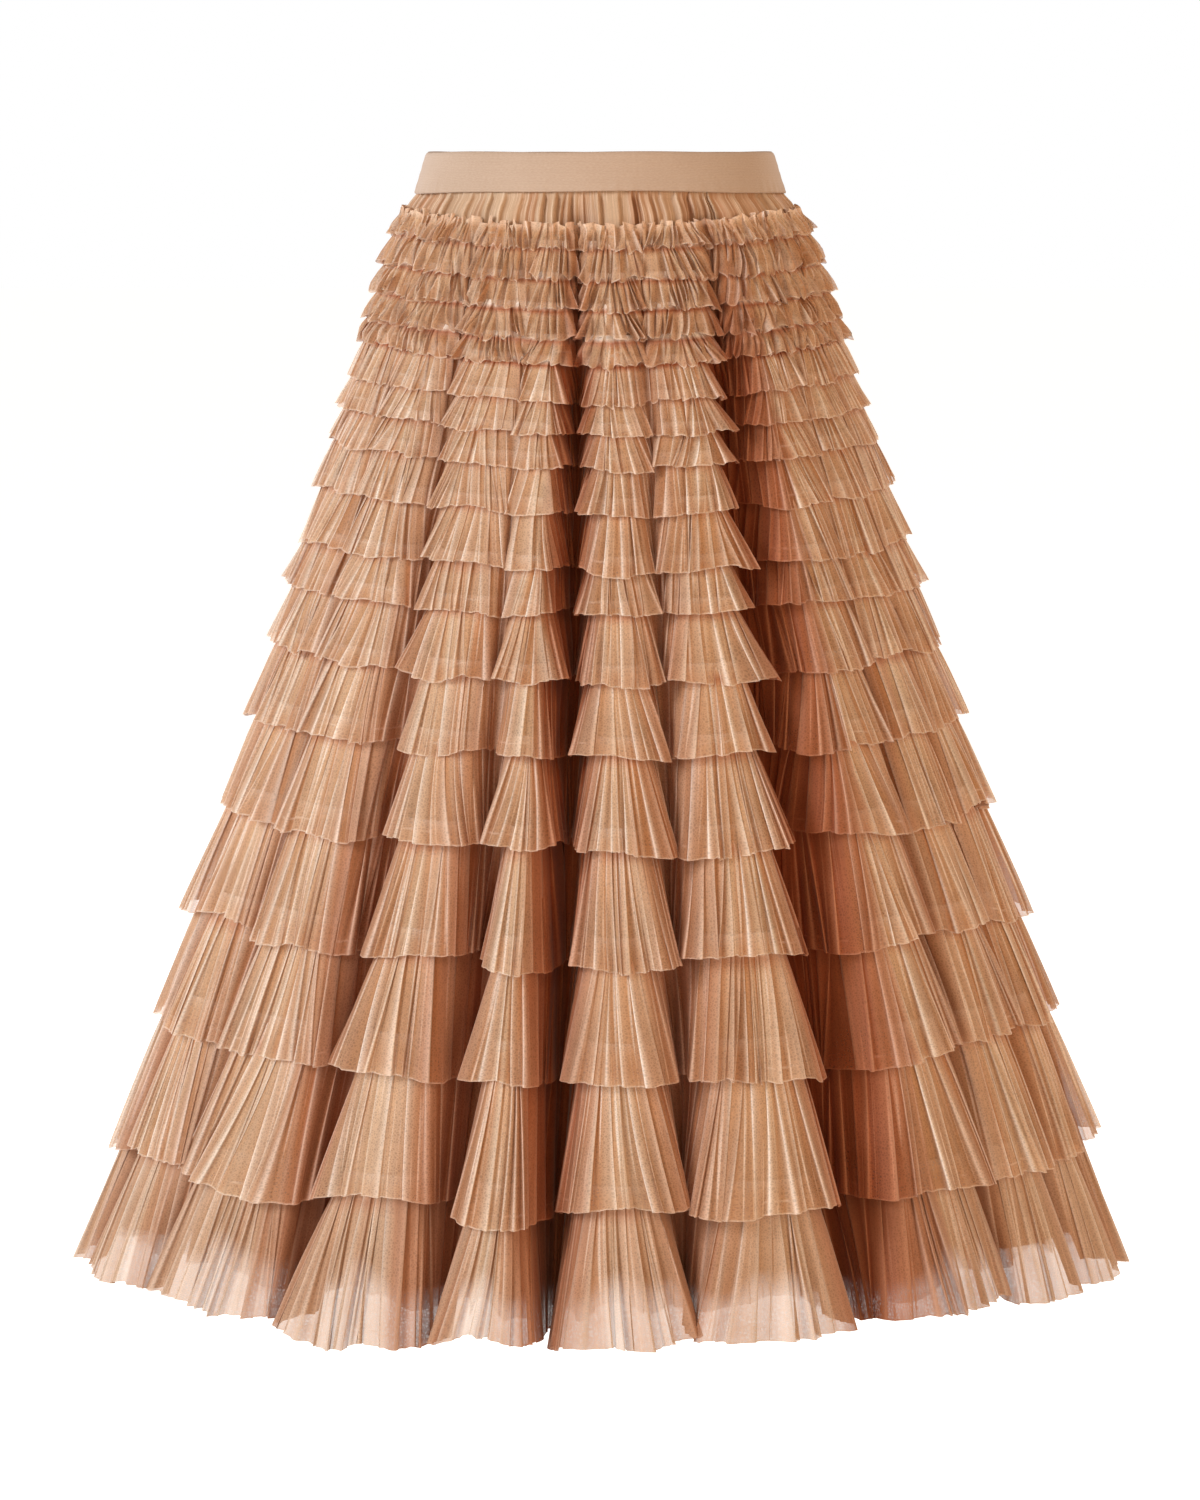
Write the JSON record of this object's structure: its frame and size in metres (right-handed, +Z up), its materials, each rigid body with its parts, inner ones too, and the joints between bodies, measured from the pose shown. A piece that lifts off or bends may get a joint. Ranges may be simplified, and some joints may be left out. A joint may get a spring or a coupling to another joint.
{
  "type": "tiered ruffle skirt",
  "caption": "Pull-on midi skirt with a smooth elastic waistband and gathered tulle ruffles in tiers that grow from waist to hem, standing open and hollow.",
  "frame": {"origin": "centre of the waistband's opening, at half the band's height, where the wearer's waist holds it", "axes": "+Z up, -Y towards the skirt's front, +X to the right seen from the front"},
  "size_m": [0.7389, 0.6121, 0.781],
  "materials": {
    "waistband_elastic": "matt knitted elastic",
    "base_tulle": "matt gathered polyester tulle",
    "ruffle_tulle": "sheer polyester tulle with a soft sheen"
  },
  "bodies": {
    "root": {"waistband": "waistband_elastic", "base_skirt": "base_tulle", "ruffle_01": "ruffle_tulle", "ruffle_02": "ruffle_tulle", "ruffle_03": "ruffle_tulle", "ruffle_04": "ruffle_tulle", "ruffle_05": "ruffle_tulle", "ruffle_06": "ruffle_tulle", "ruffle_07": "ruffle_tulle", "ruffle_08": "ruffle_tulle", "ruffle_09": "ruffle_tulle", "ruffle_10": "ruffle_tulle", "ruffle_11": "ruffle_tulle", "ruffle_12": "ruffle_tulle", "ruffle_13": "ruffle_tulle", "ruffle_14": "ruffle_tulle", "ruffle_15": "ruffle_tulle", "ruffle_16": "ruffle_tulle", "ruffle_17": "ruffle_tulle", "ruffle_18": "ruffle_tulle"}
  },
  "joints": []
}
